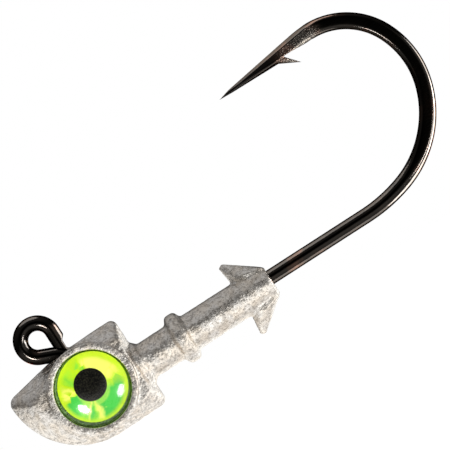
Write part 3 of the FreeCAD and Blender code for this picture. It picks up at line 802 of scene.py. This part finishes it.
def make_camera():
    """A long lens that looks square at the left side, with the shank tilted up to the right."""
    data = bpy.data.cameras.new("camera")
    data.sensor_width = SENSOR
    data.lens = SENSOR * CAMERA_DISTANCE / VIEW_WIDTH
    data.clip_start, data.clip_end = 0.05, 5.0
    camera = bpy.data.objects.new("camera", data)
    bpy.context.scene.collection.objects.link(camera)
    tilt = math.radians(VIEW_TILT)
    right = Vector((math.cos(tilt), 0.0, -math.sin(tilt)))
    up = Vector((math.sin(tilt), 0.0, math.cos(tilt)))
    back = Vector((0.0, -1.0, 0.0))
    place = Vector((VIEW_CENTRE[0], -CAMERA_DISTANCE, VIEW_CENTRE[1])) * MM
    camera.matrix_world = Matrix.Translation(place) @ Matrix((right, up, back)).transposed().to_4x4()
    bpy.context.scene.camera = camera


def make_floor():
    """A plain pale floor that lights nothing and shows in no reflection."""
    half, z = FLOOR_HALF * MM, FLOOR_Z * MM
    mesh = bpy.data.meshes.new("floor")
    corners = [(-half, -half, z), (half, -half, z), (half, half, z), (-half, half, z)]
    mesh.from_pydata(corners, [], [(0, 1, 2, 3)])
    floor = bpy.data.objects.new("floor", mesh)
    bpy.context.scene.collection.objects.link(floor)
    material, nodes = new_material("pale_floor")
    glow = nodes.add("ShaderNodeEmission")
    glow.inputs["Color"].default_value = (1.0, 1.0, 1.0, 1.0)
    glow.inputs["Strength"].default_value = 0.92
    chalk = nodes.add("ShaderNodeBsdfDiffuse")
    chalk.inputs["Color"].default_value = (0.5, 0.5, 0.5, 1.0)
    both = nodes.add("ShaderNodeAddShader")
    nodes.link(glow.outputs[0], both.inputs[0])
    nodes.link(chalk.outputs[0], both.inputs[1])
    surface(nodes, both.outputs[0])
    mesh.materials.append(material)
    floor.visible_glossy = False
    floor.visible_diffuse = False
    floor.visible_shadow = False
    floor.visible_transmission = False


def make_world():
    """A studio that is dark overhead and to both sides, and bright from the horizon down."""
    world = bpy.data.worlds.new("studio")
    bpy.context.scene.world = world
    world.use_nodes = True
    nodes = Nodes(world.node_tree)
    x, y, z = nodes.parts(nodes.add("ShaderNodeTexCoord").outputs["Generated"])
    height = nodes.math("MULTIPLY_ADD", x, -0.12, z)
    level = nodes.ramp(nodes.math("MULTIPLY_ADD", height, 0.5, 0.5, clamp=True), [
        (0.00, (0.54, 0.52, 0.50)),
        (0.06, (0.62, 0.60, 0.57)),
        (0.15, (0.92, 0.905, 0.875)),
        (0.30, (1.00, 0.985, 0.95)),
        (0.48, (0.96, 0.945, 0.91)),
        (0.53, (0.50, 0.49, 0.47)),
        (0.59, (0.05, 0.047, 0.045)),
        (0.70, (0.13, 0.127, 0.123)),
        (0.82, (0.28, 0.275, 0.27)),
        (1.00, (0.30, 0.295, 0.29)),
    ])
    forward = nodes.spread(x, FRONT_DIM_FULL, FRONT_DIM_NONE, FRONT_SHARE, 1.0)
    level = nodes.mix(1.0, level, forward, "MULTIPLY")
    facing = nodes.math("MULTIPLY", nodes.math("ABSOLUTE", y), math.cos(DARK_RISE))
    facing = nodes.math("MULTIPLY_ADD", z, math.sin(DARK_RISE), facing)
    shade = nodes.spread(facing, math.cos(DARK_OUTER), math.cos(DARK_INNER), 1.0, DARK_SHARE)
    level = nodes.mix(1.0, level, shade, "MULTIPLY")
    path = nodes.add("ShaderNodeLightPath")
    white = 1.0 / STUDIO_STRENGTH
    seen = nodes.mix(path.outputs["Is Camera Ray"], level, (white, white, white, 1.0))
    background = nodes.add("ShaderNodeBackground")
    background.inputs["Strength"].default_value = STUDIO_STRENGTH
    nodes.link(seen, background.inputs["Color"])
    output = nodes.add("ShaderNodeOutputWorld")
    nodes.link(background.outputs[0], output.inputs["Surface"])


def soft_light(name, target, direction, distance, width, height, radiance, lit, roll=0.0):
    """A soft oval panel that faces a target and lights only some pieces.

    Lengths are in millimetres; roll turns the panel about its own axis, in degrees.
    """
    data = bpy.data.lights.new(name, "AREA")
    data.shape, data.size, data.size_y = "ELLIPSE", width * MM, height * MM
    data.energy = radiance * math.pi * data.size * data.size_y
    light = bpy.data.objects.new(name, data)
    bpy.context.scene.collection.objects.link(light)
    away = Vector(direction).normalized()
    light.location = (Vector(target) + away * distance) * MM
    turned = Quaternion((0.0, 0.0, 1.0), math.radians(roll))
    light.rotation_euler = (away.to_track_quat("Z", "Y") @ turned).to_euler()
    light.visible_camera = False
    light.light_linking.receiver_collection = lit


def lit_group(name, pieces):
    """A collection of the pieces that a panel lights."""
    group = bpy.data.collections.new(name)
    for piece in pieces:
        group.objects.link(piece)
    return group


def make_lights(lenses, foils, hook):
    """Soft panels on both sides, under and over the object; the lead is lit by the world alone."""
    groups = {
        "dome": lit_group("lit_domes", lenses),
        "disc": lit_group("lit_discs", foils),
        "wire": lit_group("lit_wire", [hook]),
    }
    wire = groups["wire"]
    for side in (-1, 1):
        eye = (EYE_X, side * 4.0, EYE_Z)
        for piece, lit in groups.items():
            for name, (x, y, z), width, height, share, roll in EYE_PANELS:
                full_name, radiance = f"{name}_{piece}_{side}", RADIANCES[piece] * share
                way, turn = (x, y * side, z), roll * side
                soft_light(full_name, eye, way, EYE_DISTANCE, width, height, radiance, lit, turn)
        x, y, z = FLANK_WAY
        way = (x, y * side, z)
        soft_light(f"flank_{side}", FLANK_TARGET, way, WIRE_DISTANCE, 70, 110, FLANK_RADIANCE, wire)
    up = (0.0, 0.0, 1.0)
    soft_light("overhead", BEND_MIDDLE, up, WIRE_DISTANCE, 300, 280, OVERHEAD_RADIANCE, wire)
    for i, (across, down, radiance) in enumerate(UNDERSIDES):
        way = (across, 0.0, down)
        soft_light(f"underside_{i}", BEND_MIDDLE, way, WIRE_DISTANCE, 230, 210, radiance, wire)


# ---------------------------------------------------------------- assembly

def main():
    """Builds the studio and the pieces, and puts each piece on the frame's one body."""
    make_camera()
    make_floor()
    make_world()
    bpy.context.scene.view_settings.view_transform = "Standard"

    hook, head = make_hook(), make_head()
    paint(hook, wire_material())
    paint(head, lead_material())
    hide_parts("hook")
    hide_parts("head_casting")
    clear, foil, ink, glue_shade = lens_material(), iris_material(), pupil_material(), pad_shade_material()
    lenses = []
    for side in SIDES:
        lens = make_lens(side)
        paint(lens, clear)
        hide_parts("eye_lens_" + side)
        lenses.append(lens)
        paint_node("iris_foil_" + side, foil)
        paint_node("pupil_print_" + side, ink)
        paint_node("adhesive_pad_" + side, glue_shade)
    for piece in [hook, head] + lenses:
        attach(piece, BODY)
    foils = [bpy.data.objects["iris_foil_" + side] for side in SIDES]
    make_lights(lenses, foils, hook)


main()
